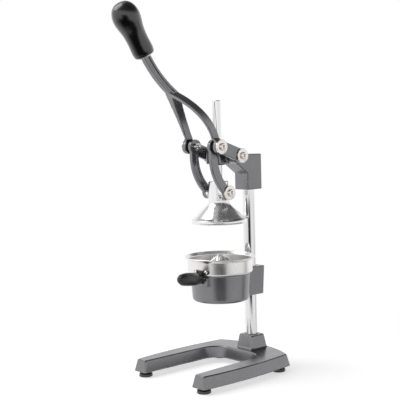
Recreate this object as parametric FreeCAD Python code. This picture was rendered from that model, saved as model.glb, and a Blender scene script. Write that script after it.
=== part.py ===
import FreeCAD
import Part

import math
import os

# Lever citrus press: a cast base and column carry a head casting, and a forked lever
# turns on the head and drives the pressing bell down through two curved links.
# Lengths are millimetres. Y = 0 and X = 0 is the plunger axis while the pieces are made,
# Z = 0 is the table, and the user stands on the -Y side. The last step moves the whole
# press along Y so that the origin is the bottom centre of its bounding box.

V = FreeCAD.Vector

# Clearances
RUN_GAP = 0.05          # radial gap of a shaft that turns or slides in its bore
SEAT_GAP = 0.05         # radial gap of a fixed shaft in its bore
SIDE_GAP = 0.3          # gap between flat faces that slide past each other
REST_GAP = 0.2          # gap under a piece that only rests on another
FACET_ERROR = 0.05      # facet tolerance used to measure the whole press
DOME_FLAT_R = 1.2       # radius of the small flat at the top of a domed end

# Rubber feet
FOOT_R = 11.2
FOOT_NECK_R = 9.8
FOOT_HEIGHT = 8.6
FOOT_LIP = 5.2
FOOT_INSET_FRONT = 9.5
FOOT_INSET_REAR = 14.0
FOOT_SCREW_R = 2.5
FOOT_SCREW_HEAD_R = 4.6
FOOT_SCREW_HEAD = 2.6
FOOT_SCREW_RECESS = 2.0
FOOT_SCREW_DEPTH = 10.0

# Base casting
BASE_THICK = 20.2
BASE_DRAFT = 4.2
BASE_FRONT = 117.0
BASE_HALF_FRONT = 81.5
BASE_BOW = 6.25         # how far the bars' outer sides bow out beyond their ends
BASE_BOW_Y = -30.0
BASE_HALF_REAR = 80.0
BASE_REAR_CORNER = 71.0
BASE_REAR = 92.0
BAR_INNER_FRONT = 60.5
BAR_INNER_REAR = 57.0
CROSSBAR_FRONT = 40.0
CROTCH_R = 30.0
BASE_CORNER_R = 4.0
BASE_EDGE_R = 1.2
SOCKET_HEIGHT = 22.5
SOCKET_TOP = (16.5, 15.5)
SOCKET_FOOT = (20.5, 19.0)
SOCKET_CORNER_R = 5.0

# Column
COLUMN_R = 10.4
COLUMN_BACK = 70.0      # distance from the plunger axis to the column axis
COLUMN_SEAT = 10.0      # height of the column's lower end above the casting's underside
COLUMN_CHAMFER = 1.0
COLUMN_BOLT_R = 4.0
COLUMN_BOLT_HEAD_R = 8.0
COLUMN_BOLT_HEAD = 4.5
COLUMN_BOLT_REACH = 24.0
COLUMN_BOLT_RECESS_R = 10.0
COLUMN_BOLT_RECESS = 6.0

# Head casting
HEAD_BOTTOM = 300.0
HEAD_TOP = 359.6
HEAD_HALF = 16.3
HEAD_WALL = 5.9         # wall between the column and the head's front and rear faces
HEAD_CAP = 7.0          # closed wall above the column
ARM_FRONT = 13.2
ARM_BOTTOM = 346.0
GUSSET_START = 27.0
GUSSET_DROP = 19.0
ARM_TAPER = 11.0
HEAD_EDGE_R = 1.5
ARM_END_R = 5.0
SET_SCREW_R = 3.0
SET_SCREW_SOCKET_R = 1.6
HEAD_SCREW_HEIGHTS = (312.0, 342.0)

# Plunger rod and its guide
ROD_R = 7.0
ROD_TOP = 449.5
ROD_CHAMFER = 1.0
BUSH_WALL = 2.4
BUSH_FLANGE = 2.6
BUSH_FLANGE_HEIGHT = 1.8

# Pivots, as (Y, Z)
HEAD_PIVOT = (16.3, 359.1)
CRANK_PIVOT = (-29.5, 374.9)
LINK_FOOT = (0.0, 299.3)
PIVOT_R = 4.0
FOOT_PIN_R = 3.0
WASHER_R = 11.8
WASHER_THICK = 2.3
SCREW_HEAD_R = 6.0
SCREW_HEAD = 3.2
HEX_SOCKET = 2.6
NUT_ACROSS = 11.0
NUT_THICK = 5.6
HEAD_BOSS_R = 13.0
HEAD_PIVOT_DEPTH = 20.0  # how deep a head pivot screw reaches into the boss

# Links
LINK_HALF = 19.7         # X of the inner face
LINK_THICK = 6.5
LINK_WIDTH = 15.0
LINK_SAGITTA = 12.3
LINK_EYE_R = 12.0
LINK_FOOT_R = 11.3
LINK_POCKET = 1.8
LINK_POCKET_WIDTH = 8.0
LINK_EDGE_R = 1.2
SPACER_R = 8.0

# Lever casting
ARM_INNER = 33.0         # X of the arm's inner face at the pivots
LEVER_ARM_THICK = 7.5
LEVER_WIDTH = 13.0
LEVER_BOSS_R = 12.0
ROCKER_WIDTH = 21.0
SHANK_HALF = 4.9
SHANK_GROOVE = 1.6
SHANK_GROOVE_WIDTH = 4.6
SHANK_TOP = (-146.0, 517.6)
SHANK_FORK = (-92.4, 460.2)
ARM_SHOULDER = (-58.9, 429.7)
ARM_KNEE = (-45.4, 411.2)
GRIP_SLOPE = -58.8       # direction of the grip axis, degrees from +Y towards +Z
FORK_NECK = 461.5        # height where the shank starts to spread, and the outlines as (X, Z)
FORK_SHOULDER = (22.4, 441.3)
FORK_HIP = (34.1, 389.1)
CROTCH_TOP = 454.5
CROTCH_SIDE = (18.6, 432.8)
CROTCH_HIP = (29.2, 386.5)
ARM_FLARE = 8.0          # rise from the crank pivot to where the arm reaches its full width
SPACER_ROOM = 1.0

# Grip
GRIP_LENGTH = 84.0
GRIP_END_R = 16.8
GRIP_WAIST_R = 14.6
GRIP_WAIST_AT = 26.0
GRIP_BULB_R = 20.4
GRIP_BULB_AT = 63.0
GRIP_END_ROUND = 2.0
SPIGOT_R = 5.0
SPIGOT_LENGTH = 62.0
COLLAR_R = 9.5
COLLAR_LENGTH = 5.0

# Pressing bell
BELL_RIM_R = 45.6
BELL_BOTTOM = 249.0
BELL_RIM = 6.5
BELL_STEP = 1.6
NECK_FOOT_R = 17.2
NECK_TOP_R = 16.2
NECK_BOTTOM = 281.4
NECK_TOP = 318.0
BELL_WALL = 3.6
BELL_ROOF_R = 11.0
BELL_ROOF = 275.5
BELL_RIBS = 8
RIB_THICK = 2.4
RIB_HEIGHT = 4.0
CROSS_BOSS_R = 11.0
FOOT_PIN_ROOM = 5.3      # radial room round the foot pin: the linkage is open here
FOOT_PIN_END = 10.0      # X of the foot pin's inner end
ROD_SEAT = 283.5
ROD_SCREW_RISE = 5.5
ROD_SCREW_R = 2.5

# Cup holder
HOLDER_TOP = 167.0
HOLDER_BOTTOM = 121.0
HOLDER_TOP_R = 49.8
HOLDER_FOOT_R = 47.2
HOLDER_ROUND = 5.5
HOLDER_WALL = 3.8
HOLDER_LIP = 5.0
HOLDER_MOUTH_R = 38.5
BRACKET_TOP = 169.0
BRACKET_HALF = 16.3
BRACKET_BACK_TOP = 18.6
BRACKET_BACK_FOOT = 15.0
BRACKET_START = 44.0
HOLDER_SCREW_HEIGHT = 145.0
LUG_REACH = 4.6
LUG_WIDTH = 7.0
LUG_HEIGHT = 14.0
LUG_DROP = 2.5
LUG_TURN = 9.0           # degrees from the handle

# Juice bowl
BOWL_SHEET = 1.4
BOWL_RIM_R = 57.5
BOWL_RIM = 194.5
BOWL_WALL_R = 54.0
BOWL_FLARE = 4.5
BOWL_HIP = 171.5
BOWL_NECK_R = 44.6
BOWL_NECK_BOTTOM = 150.0
SPOUT_R = 13.0
SPOUT_TOP = 137.0
SPOUT_BOTTOM = 125.5

# Strainer
STRAINER_SHEET = 1.2
STRAINER_FLOOR = 157.0
STRAINER_HUB_R = 8.0
STRAINER_HOLE_R = 2.0
STRAINER_RINGS = 3
STRAINER_FIRST_RING_R = 18.0
STRAINER_RING_PITCH = 8.0
STRAINER_HOLE_PITCH = 8.9
STRAINER_DRAFT = 2.0

# Reamer
REAMER_TOP = 198.0
REAMER_SKIRT = 4.0
REAMER_CORE_R = 19.0
REAMER_RIB_R = 27.0
REAMER_RIBS = 8
REAMER_RIB_HALF = 3.2
REAMER_PEG = 7.0

# Bowl handle, measured round the plunger axis
HANDLE_TURN = -78.0
STRAP_SPREAD = 15.0
STRAP_THICK = 2.4
STRAP_LOW = 1.5          # how far the strap reaches below the bowl's hip
STRAP_HIGH = 5.0
STRAP_RIVET_TURN = 10.5
RIVET_R = 1.6
RIVET_HEAD_R = 2.8
RIVET_HEAD = 1.2
RIVET_RISE = 1.3         # above the middle of the strap
TAB_WIDTH = 11.0
TAB_DROP = 16.0
STEM_R = 3.0
STEM_LENGTH = 36.0
KNOB_R = 10.8
KNOB_END_R = 7.6
KNOB_LENGTH = 56.0
KNOB_TILT = 7.5
KNOB_START = 1.5
KNOB_DROP = 8.0          # from the bowl's hip down to the knob's axis
KNOB_SCREW_SINK = 0.7    # clears the tilted screw head from the back of the tab
KNOB_SCREW_HEAD_R = 4.5
KNOB_SCREW_HEAD = 2.2


# Placing and outline helpers

def plan(x, y, z=0.0):
    return V(x, y, z)


def side(y, z, x=0.0):
    return V(x, y, z)


def front(x, z, y=0.0):
    return V(x, y, z)


def outline(place, start, *sides):
    """Closed wire. Each side is a point for a straight run, or (middle, end) for an arc."""
    edges = []
    here = start
    for way in sides:
        if isinstance(way[0], tuple):
            middle, end = way
            edges.append(Part.Arc(place(*here), place(*middle), place(*end)).toShape())
        else:
            end = way
            edges.append(Part.makeLine(place(*here), place(*end)))
        here = end
    if math.dist(here, start) > 1e-6:
        edges.append(Part.makeLine(place(*here), place(*start)))
    return Part.Wire(edges)


def turned(start, *sides):
    """Solid of revolution about Z from an outline of (radius, height) points."""
    face = Part.Face(outline(front, start, *sides))
    return face.revolve(V(0, 0, 0), V(0, 0, 1), 360)


def block(x0, x1, y0, y1, z0, z1):
    return Part.makeBox(x1 - x0, y1 - y0, z1 - z0, V(x0, y0, z0))


def upright(radius, z0, z1, x=0.0, y=0.0):
    return Part.makeCylinder(radius, z1 - z0, V(x, y, z0), V(0, 0, 1))


def crosswise(radius, x0, x1, pivot):
    low, high = min(x0, x1), max(x0, x1)
    return Part.makeCylinder(radius, high - low, V(low, pivot[0], pivot[1]), V(1, 0, 0))


def backwards(radius, y0, y1, x, z):
    return Part.makeCylinder(radius, y1 - y0, V(x, y0, z), V(0, 1, 0))


def slab(wire, x0, x1):
    """Prism along X of an outline drawn in the side view at x = 0."""
    face = Part.Face(wire)
    face.translate(V(x0, 0, 0))
    return face.extrude(V(x1 - x0, 0, 0))


def hexagon_x(across, x0, x1, pivot):
    corner = across / math.sqrt(3)
    points = []
    for index in range(7):
        angle = math.radians(60 * index)
        points.append(side(pivot[0] + corner * math.cos(angle), pivot[1] + corner * math.sin(angle)))
    return slab(Part.makePolygon(points), min(x0, x1), max(x0, x1))


def join(first, *others):
    return first.fuse(list(others)).removeSplitter()


def both_sides(shape):
    """The piece and its mirror image across the middle plane, as separate solids."""
    return Part.makeCompound([shape, shape.mirror(V(0, 0, 0), V(1, 0, 0))])


def spun(shape, degrees):
    copy = shape.copy()
    copy.rotate(V(0, 0, 0), V(0, 0, 1), degrees)
    return copy


def rounded(shape, radius, wanted):
    return shape.makeFillet(radius, [edge for edge in shape.Edges if wanted(edge)])


def is_upright(edge):
    first = abs(edge.tangentAt(edge.FirstParameter).z)
    last = abs(edge.tangentAt(edge.LastParameter).z)
    return min(first, last) > 0.9


def on_flank(edge, x):
    return abs(abs(edge.CenterOfMass.x) - x) < 0.01


def lies_at(edge, z):
    box = edge.BoundBox
    return abs(box.ZMin - z) < 0.01 and abs(box.ZMax - z) < 0.01


def step(point, degrees, distance):
    angle = math.radians(degrees)
    return (point[0] + distance * math.cos(angle), point[1] + distance * math.sin(angle))


def heading(start, end):
    return math.degrees(math.atan2(end[1] - start[1], end[0] - start[0]))


# A bar of even width along tangent arcs, drawn in the side view

def arc_run(start, direction, end):
    """One arc from start, leaving along direction, as (points, directions) at its two ends and middle."""
    chord = heading(start, end)
    bend = chord - direction
    length = math.dist(start, end)
    middle = ((start[0] + end[0]) / 2, (start[1] + end[1]) / 2)
    rise = length / 2 * math.tan(math.radians(bend / 2))
    middle = step(middle, chord - 90, rise)
    return (start, middle, end), (direction, chord, chord + bend)


def arc_bar(run, width):
    points, directions = run
    left = [step(p, d + 90, width / 2) for p, d in zip(points, directions)]
    right = [step(p, d - 90, width / 2) for p, d in zip(points, directions)]
    return outline(side, left[0], (left[1], left[2]), right[2], (right[1], right[0]))


def straight_bar(start, end, width):
    turn = heading(start, end)
    corners = [step(start, turn + 90, width / 2), step(end, turn + 90, width / 2),
               step(end, turn - 90, width / 2), step(start, turn - 90, width / 2)]
    return outline(side, *corners)


def lever_runs():
    """The four arcs of the lever's centre line, from the grip down to the crank pivot."""
    stops = (SHANK_TOP, SHANK_FORK, ARM_SHOULDER, ARM_KNEE, CRANK_PIVOT)
    runs = []
    direction = GRIP_SLOPE
    for start, end in zip(stops, stops[1:]):
        run = arc_run(start, direction, end)
        runs.append(run)
        direction = run[1][2]
    return runs


# Base, feet and column

BASE_BOTTOM = FOOT_HEIGHT
BASE_TOP = BASE_BOTTOM + BASE_THICK
SOCKET_TOP_Z = BASE_TOP + SOCKET_HEIGHT
COLUMN_BOTTOM = BASE_BOTTOM + COLUMN_SEAT
COLUMN_TOP = HEAD_TOP - HEAD_CAP
BASE_HALF_BOW = (BASE_HALF_FRONT + BASE_HALF_REAR) / 2 + BASE_BOW


def base_outline(grow, z):
    """Plan of the base: two bowed bars, a rear crossbar and the open front between them."""
    outer = BASE_HALF_FRONT + grow
    nose = -BASE_FRONT - grow
    rear = (BASE_HALF_REAR + grow, BASE_REAR_CORNER + grow)
    centre = (BAR_INNER_REAR - CROTCH_R, CROSSBAR_FRONT - CROTCH_R)
    crotch = CROTCH_R - grow
    corner = (centre[0] + crotch * math.cos(math.pi / 4), centre[1] + crotch * math.sin(math.pi / 4))
    inner_front = BAR_INNER_FRONT - grow
    right = [(inner_front, nose), (outer, nose)]
    bow = (BASE_HALF_BOW + grow, BASE_BOW_Y)

    def flip(point):
        return (-point[0], point[1])

    def place(x, y):
        return plan(x, y, z)

    return outline(place, right[0], right[1], (bow, rear), ((0.0, BASE_REAR + grow), flip(rear)),
                   (flip(bow), flip(right[1])), flip(right[0]),
                   (-(centre[0] + crotch), centre[1]),
                   (flip(corner), (-centre[0], centre[1] + crotch)),
                   (centre[0], centre[1] + crotch),
                   (corner, (centre[0] + crotch, centre[1])))


def foot_places():
    front_x = (BASE_HALF_FRONT + BAR_INNER_FRONT) / 2
    rear_x = BASE_HALF_REAR - FOOT_INSET_REAR + BASE_DRAFT
    front_y = -BASE_FRONT + FOOT_INSET_FRONT
    rear_y = BASE_REAR_CORNER - FOOT_INSET_REAR + BASE_DRAFT
    return [(front_x, front_y), (-front_x, front_y), (rear_x, rear_y), (-rear_x, rear_y)]


def socket_section(half, z):
    x, y = half
    corners = [plan(x, COLUMN_BACK + y, z), plan(-x, COLUMN_BACK + y, z),
               plan(-x, COLUMN_BACK - y, z), plan(x, COLUMN_BACK - y, z)]
    return Part.makePolygon(corners + corners[:1])


def is_bar_corner(edge):
    """True at the front ends of the bars and at the two rear corners, not at the smooth crotch."""
    place = edge.CenterOfMass
    return place.y < -BASE_FRONT + 1 or abs(place.x) > BASE_HALF_REAR - 1


def base_casting():
    bars = Part.makeLoft([base_outline(BASE_DRAFT, BASE_BOTTOM), base_outline(0.0, BASE_TOP)], True, True)
    bars = rounded(bars, BASE_CORNER_R, lambda edge: is_upright(edge) and is_bar_corner(edge))
    bars = rounded(bars, BASE_EDGE_R, lambda edge: lies_at(edge, BASE_TOP))
    sections = [socket_section(SOCKET_FOOT, BASE_TOP - 1), socket_section(SOCKET_TOP, SOCKET_TOP_Z)]
    socket = Part.makeLoft(sections, True, True)
    socket = rounded(socket, SOCKET_CORNER_R, is_upright)
    socket = rounded(socket, BASE_EDGE_R, lambda edge: lies_at(edge, SOCKET_TOP_Z))
    casting = join(bars, socket)
    casting = casting.cut(upright(COLUMN_R + SEAT_GAP, COLUMN_BOTTOM, SOCKET_TOP_Z + 1, 0, COLUMN_BACK))
    casting = casting.cut(upright(COLUMN_BOLT_R + SEAT_GAP, BASE_BOTTOM, COLUMN_BOTTOM + 1, 0, COLUMN_BACK))
    casting = casting.cut(upright(COLUMN_BOLT_RECESS_R, BASE_BOTTOM - 1, BASE_BOTTOM + COLUMN_BOLT_RECESS,
                                  0, COLUMN_BACK))
    for x, y in foot_places():
        casting = casting.cut(upright(FOOT_SCREW_R, BASE_BOTTOM - 1, BASE_BOTTOM + FOOT_SCREW_DEPTH, x, y))
    return casting


def rubber_foot():
    soft = 1.2
    return turned((FOOT_SCREW_R + SEAT_GAP, FOOT_SCREW_RECESS + FOOT_SCREW_HEAD),
                  (FOOT_SCREW_HEAD_R + SEAT_GAP, FOOT_SCREW_RECESS + FOOT_SCREW_HEAD),
                  (FOOT_SCREW_HEAD_R + SEAT_GAP, 0.0), (FOOT_R - soft, 0.0),
                  ((FOOT_R - soft * 0.3, soft * 0.3), (FOOT_R, soft)), (FOOT_R, FOOT_LIP - soft),
                  ((FOOT_R - soft * 0.3, FOOT_LIP - soft * 0.3), (FOOT_R - soft, FOOT_LIP)),
                  (FOOT_NECK_R, FOOT_LIP), (FOOT_NECK_R, FOOT_HEIGHT),
                  (FOOT_SCREW_R + SEAT_GAP, FOOT_HEIGHT))


def foot_screw():
    head = upright(FOOT_SCREW_HEAD_R, FOOT_SCREW_RECESS, FOOT_SCREW_RECESS + FOOT_SCREW_HEAD)
    shank = upright(FOOT_SCREW_R, FOOT_SCREW_RECESS, BASE_BOTTOM + FOOT_SCREW_DEPTH - 1)
    slot = block(-FOOT_SCREW_HEAD_R, FOOT_SCREW_HEAD_R, -0.5, 0.5, 0, FOOT_SCREW_RECESS + 1)
    return join(head, shank).cut(slot)


def at_feet(shape):
    copies = []
    for x, y in foot_places():
        copy = shape.copy()
        copy.translate(V(x, y, 0))
        copies.append(copy)
    return Part.makeCompound(copies)


def column():
    tube = upright(COLUMN_R, COLUMN_BOTTOM, COLUMN_TOP, 0, COLUMN_BACK)
    tube = tube.makeChamfer(COLUMN_CHAMFER, [e for e in tube.Edges if isinstance(e.Curve, Part.Circle)])
    tapped = upright(COLUMN_BOLT_R + SEAT_GAP, COLUMN_BOTTOM - 1, COLUMN_BOTTOM + COLUMN_BOLT_REACH + 2,
                     0, COLUMN_BACK)
    return tube.cut(tapped)


def column_bolt():
    top = BASE_BOTTOM + COLUMN_BOLT_RECESS
    head = Part.makeCylinder(COLUMN_BOLT_HEAD_R, COLUMN_BOLT_HEAD, V(0, COLUMN_BACK, top - COLUMN_BOLT_HEAD))
    shank = upright(COLUMN_BOLT_R, top - 1, COLUMN_BOTTOM + COLUMN_BOLT_REACH, 0, COLUMN_BACK)
    socket = upright(COLUMN_BOLT_R * 0.7, top - COLUMN_BOLT_HEAD - 1, top - 1.5, 0, COLUMN_BACK)
    return join(head, shank).cut(socket)


# Head casting, its screws and the rod guide

def column_front():
    return COLUMN_BACK - COLUMN_R - HEAD_WALL


def column_rear():
    return COLUMN_BACK + COLUMN_R + HEAD_WALL


def head_casting():
    face = column_front()
    arm_top = HEAD_PIVOT[1] + HEAD_BOSS_R
    profile = outline(side, (-ARM_FRONT, arm_top), (-ARM_FRONT, ARM_BOTTOM), (GUSSET_START, ARM_BOTTOM),
                      (face, ARM_BOTTOM - GUSSET_DROP), (face, HEAD_BOTTOM), (column_rear(), HEAD_BOTTOM),
                      (column_rear(), HEAD_TOP), (HEAD_PIVOT[0] + HEAD_BOSS_R + ARM_TAPER, HEAD_TOP),
                      (HEAD_PIVOT[0] + HEAD_BOSS_R, arm_top))
    casting = slab(profile, -HEAD_HALF, HEAD_HALF)
    casting = rounded(casting, ARM_END_R, lambda e: is_upright(e) and e.BoundBox.YMax < 0)
    casting = rounded(casting, HEAD_EDGE_R,
                      lambda e: on_flank(e, HEAD_HALF) and e.BoundBox.YMin > GUSSET_START - 1)
    reach = ARM_INNER - SIDE_GAP
    boss = crosswise(HEAD_BOSS_R, -reach, reach, HEAD_PIVOT)
    boss = rounded(boss, 1.0, lambda e: isinstance(e.Curve, Part.Circle))
    casting = join(casting, boss)
    socket = upright(COLUMN_R + SEAT_GAP, HEAD_BOTTOM - 1, COLUMN_TOP + REST_GAP, 0, COLUMN_BACK)
    casting = casting.cut(socket)
    casting = casting.cut(upright(ROD_R + BUSH_WALL, ARM_BOTTOM - 1, arm_top + 1))
    for sign in (-1, 1):
        inner = reach - HEAD_PIVOT_DEPTH
        casting = casting.cut(crosswise(PIVOT_R + SEAT_GAP, sign * inner, sign * (reach + 1), HEAD_PIVOT))
    for height in HEAD_SCREW_HEIGHTS:
        casting = casting.cut(backwards(SET_SCREW_R + SEAT_GAP, COLUMN_BACK, column_rear() + 1, 0, height))
    return casting


def set_screw(height, rear):
    """Grub screw from the rear face to the column."""
    screw = backwards(SET_SCREW_R, COLUMN_BACK + COLUMN_R + SEAT_GAP, rear - 0.6, 0, height)
    return screw.cut(backwards(SET_SCREW_SOCKET_R, rear - 3.2, rear, 0, height))


def head_set_screws():
    return Part.makeCompound([set_screw(height, column_rear()) for height in HEAD_SCREW_HEIGHTS])


def rod_guide_bush():
    """Flanged bush pressed up into the head arm."""
    top = HEAD_PIVOT[1] + HEAD_BOSS_R
    outer = ROD_R + BUSH_WALL - SEAT_GAP
    flange = outer + BUSH_FLANGE
    low = ARM_BOTTOM - BUSH_FLANGE_HEIGHT
    bore = ROD_R + RUN_GAP
    return turned((bore, low), (flange - 0.5, low), (flange, low + 0.5), (flange, ARM_BOTTOM),
                  (outer, ARM_BOTTOM), (outer, top), (bore, top))


# Pivot hardware. Each piece is made on the +X side and mirrored

def washer(pivot, inner_face, hole):
    ring = crosswise(WASHER_R, inner_face, inner_face + WASHER_THICK, pivot)
    ring = rounded(ring, 0.6, lambda e: isinstance(e.Curve, Part.Circle) and e.BoundBox.XMin > inner_face + 1)
    return ring.cut(crosswise(hole, inner_face - 1, inner_face + WASHER_THICK + 1, pivot))


def socket_screw(pivot, head_face, inner_end, shank_r):
    """Domed screw head with a hexagon socket, on a plain shank."""
    outer = head_face + SCREW_HEAD
    head = crosswise(SCREW_HEAD_R, head_face, outer, pivot)
    head = rounded(head, SCREW_HEAD * 0.55,
                   lambda e: isinstance(e.Curve, Part.Circle) and e.BoundBox.XMin > outer - 0.1)
    screw = join(head, crosswise(shank_r, inner_end, head_face + 1, pivot))
    return screw.cut(hexagon_x(HEX_SOCKET * 1.6, outer - 2.2, outer + 1, pivot))


LEVER_OUTER = ARM_INNER + LEVER_ARM_THICK
LINK_OUTER = LINK_HALF + LINK_THICK


def head_pivot_washers():
    return both_sides(washer(HEAD_PIVOT, LEVER_OUTER + SIDE_GAP, PIVOT_R + SEAT_GAP))


def head_pivot_screws():
    head_face = LEVER_OUTER + SIDE_GAP + WASHER_THICK
    inner = ARM_INNER - SIDE_GAP - HEAD_PIVOT_DEPTH + 1
    return both_sides(socket_screw(HEAD_PIVOT, head_face, inner, PIVOT_R))


def crank_washers():
    return both_sides(washer(CRANK_PIVOT, LEVER_OUTER, PIVOT_R + SEAT_GAP))


def crank_bolts():
    inner = LINK_HALF - SIDE_GAP - NUT_THICK - 0.8
    return both_sides(socket_screw(CRANK_PIVOT, LEVER_OUTER + WASHER_THICK, inner, PIVOT_R))


def crank_nuts():
    outer = LINK_HALF - SIDE_GAP
    nut = hexagon_x(NUT_ACROSS, outer - NUT_THICK, outer, CRANK_PIVOT)
    nut = nut.common(Part.makeCone(NUT_ACROSS * 0.5, NUT_ACROSS * 0.5 + NUT_THICK * 1.6, NUT_THICK,
                                   V(outer - NUT_THICK, *CRANK_PIVOT), V(1, 0, 0)))
    return both_sides(nut.cut(crosswise(PIVOT_R + SEAT_GAP, 0, outer + 1, CRANK_PIVOT)))


def crank_spacers():
    sleeve = crosswise(SPACER_R, LINK_OUTER + SIDE_GAP, ARM_INNER, CRANK_PIVOT)
    return both_sides(sleeve.cut(crosswise(PIVOT_R + SEAT_GAP, LINK_OUTER, ARM_INNER + 1, CRANK_PIVOT)))


def link_foot_washers():
    return both_sides(washer(LINK_FOOT, LINK_OUTER, FOOT_PIN_R + SEAT_GAP))


def link_foot_screws():
    return both_sides(socket_screw(LINK_FOOT, LINK_OUTER + WASHER_THICK, FOOT_PIN_END, FOOT_PIN_R))


# Curved links

def link_run():
    """The link's centre arc, bowed towards the user, from the crank pivot to the foot pin."""
    bend = 4 * math.degrees(math.atan(2 * LINK_SAGITTA / math.dist(CRANK_PIVOT, LINK_FOOT)))
    return arc_run(CRANK_PIVOT, heading(CRANK_PIVOT, LINK_FOOT) - bend / 2, LINK_FOOT)


def link():
    def on_outer_face(edge):
        return isinstance(edge.Curve, Part.Circle) and edge.BoundBox.XMin > LINK_OUTER - 0.01

    bar = rounded(slab(arc_bar(link_run(), LINK_WIDTH), LINK_HALF, LINK_OUTER), LINK_EDGE_R, on_outer_face)
    eyes = [rounded(crosswise(radius, LINK_HALF, LINK_OUTER, pivot), LINK_EDGE_R, on_outer_face)
            for pivot, radius in ((CRANK_PIVOT, LINK_EYE_R), (LINK_FOOT, LINK_FOOT_R))]
    body = join(bar, *eyes)
    pocket = slab(arc_bar(link_run(), LINK_POCKET_WIDTH), LINK_HALF - 1, LINK_HALF + LINK_POCKET)
    for pivot, radius in ((CRANK_PIVOT, LINK_EYE_R), (LINK_FOOT, LINK_FOOT_R)):
        pocket = pocket.cut(crosswise(radius, LINK_HALF - 2, LINK_OUTER, pivot))
    body = body.cut(pocket)
    body = body.cut(crosswise(PIVOT_R + RUN_GAP, LINK_HALF - 1, LINK_OUTER + 1, CRANK_PIVOT))
    return body.cut(crosswise(FOOT_PIN_R + SEAT_GAP, LINK_HALF - 1, LINK_OUTER + 1, LINK_FOOT))


def mirrored(shape):
    return shape.mirror(V(0, 0, 0), V(1, 0, 0))


# Lever casting, grip and collar

def fork_shape():
    """Front view of the wishbone: the shank, two shoulders and two upright arms."""
    low = HEAD_PIVOT[1] - LEVER_BOSS_R - 5
    high = SHANK_TOP[1] + LEVER_WIDTH
    nearest = SHANK_TOP[0] - LEVER_WIDTH
    farthest = HEAD_PIVOT[0] + ROCKER_WIDTH
    neck = (SHANK_HALF, FORK_NECK)
    reach = (LEVER_OUTER, CRANK_PIVOT[1] + ARM_FLARE)
    inner = (ARM_INNER, CRANK_PIVOT[1] + SPACER_R + SPACER_ROOM)

    def flip(point):
        return (-point[0], point[1])

    outer = outline(front, (SHANK_HALF, high), neck, (FORK_SHOULDER, FORK_HIP), reach,
                    (LEVER_OUTER, low), (-LEVER_OUTER, low), flip(reach), flip(FORK_HIP),
                    (flip(FORK_SHOULDER), flip(neck)), (-SHANK_HALF, high))
    crotch = outline(front, (ARM_INNER, low - 1), inner, CROTCH_HIP, (CROTCH_SIDE, (0.0, CROTCH_TOP)),
                     (flip(CROTCH_SIDE), flip(CROTCH_HIP)), flip(inner), (-ARM_INNER, low - 1))
    sheets = []
    for wire in (outer, crotch):
        face = Part.Face(wire)
        face.translate(V(0, nearest, 0))
        sheets.append(face.extrude(V(0, farthest - nearest, 0)))
    return sheets[0].cut(sheets[1])


def lever_casting():
    runs = lever_runs()
    wide = LEVER_OUTER + 1
    bars = [slab(arc_bar(run, LEVER_WIDTH), -wide, wide) for run in runs]
    bars.append(slab(straight_bar(CRANK_PIVOT, HEAD_PIVOT, ROCKER_WIDTH), -wide, wide))
    for pivot in (CRANK_PIVOT, HEAD_PIVOT):
        bars.append(crosswise(LEVER_BOSS_R, -wide, wide, pivot))
    body = join(bars[0], *bars[1:]).common(fork_shape())
    for sign in (-1, 1):
        faces = (sign * (SHANK_HALF - SHANK_GROOVE), sign * (SHANK_HALF + 2))
        groove = slab(arc_bar(runs[0], SHANK_GROOVE_WIDTH), min(faces), max(faces))
        body = body.cut(groove)
    end = side(*SHANK_TOP)
    axis = V(0, math.cos(math.radians(GRIP_SLOPE)), math.sin(math.radians(GRIP_SLOPE)))
    shoulder = Part.makeCylinder(COLLAR_R - 1.5, 2.0, end - axis * 0.5, axis)
    spigot = Part.makeCylinder(SPIGOT_R, COLLAR_LENGTH + SPIGOT_LENGTH, end, axis * -1)
    body = join(body, shoulder, spigot)
    for pivot, gap in ((CRANK_PIVOT, SEAT_GAP), (HEAD_PIVOT, RUN_GAP)):
        body = body.cut(crosswise(PIVOT_R + gap, -wide - 1, wide + 1, pivot))
    return body


def on_grip_axis(shape, offset):
    """Stands a piece made along +Z on the grip axis, offset mm above the shank's end."""
    up = V(0, -math.cos(math.radians(GRIP_SLOPE)), -math.sin(math.radians(GRIP_SLOPE)))
    shape.rotate(V(0, 0, 0), V(1, 0, 0), math.degrees(math.atan2(-up.y, up.z)))
    shape.translate(side(*SHANK_TOP) + up * offset)
    return shape


def grip_collar():
    ring = turned((SPIGOT_R + SEAT_GAP, 0.0), (COLLAR_R - 0.6, 0.0), (COLLAR_R, 0.6),
                  (COLLAR_R, COLLAR_LENGTH), (SPIGOT_R + SEAT_GAP, COLLAR_LENGTH))
    return on_grip_axis(ring, 0.0)


def grip():
    """Swollen hand grip: flared lower end, waist, bulb and domed top, with a blind bore."""
    bore = SPIGOT_R + SEAT_GAP
    flare = GRIP_END_ROUND
    hip_r = (GRIP_WAIST_R + GRIP_BULB_R) / 2
    hip_at = (GRIP_WAIST_AT + GRIP_BULB_AT) / 2
    dome = GRIP_LENGTH - GRIP_BULB_AT
    body = turned((bore, 0.0), (GRIP_END_R - flare, 0.0),
                  ((GRIP_END_R - flare * 0.3, flare * 0.3), (GRIP_END_R, flare)),
                  ((GRIP_WAIST_R + 0.3, GRIP_WAIST_AT * 0.6), (GRIP_WAIST_R, GRIP_WAIST_AT)),
                  ((hip_r - 0.9, hip_at - 3.0), (hip_r + 0.6, hip_at + 3.0)),
                  ((GRIP_BULB_R - 0.4, GRIP_BULB_AT - 6.0), (GRIP_BULB_R, GRIP_BULB_AT)),
                  ((GRIP_BULB_R * 0.76, GRIP_BULB_AT + dome * 0.66), (DOME_FLAT_R, GRIP_LENGTH)),
                  (0.0, GRIP_LENGTH), (0.0, SPIGOT_LENGTH + 1.0), (bore, SPIGOT_LENGTH + 1.0))
    return on_grip_axis(body, COLLAR_LENGTH)


# Plunger: pressing bell, rod and lock screw

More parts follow.
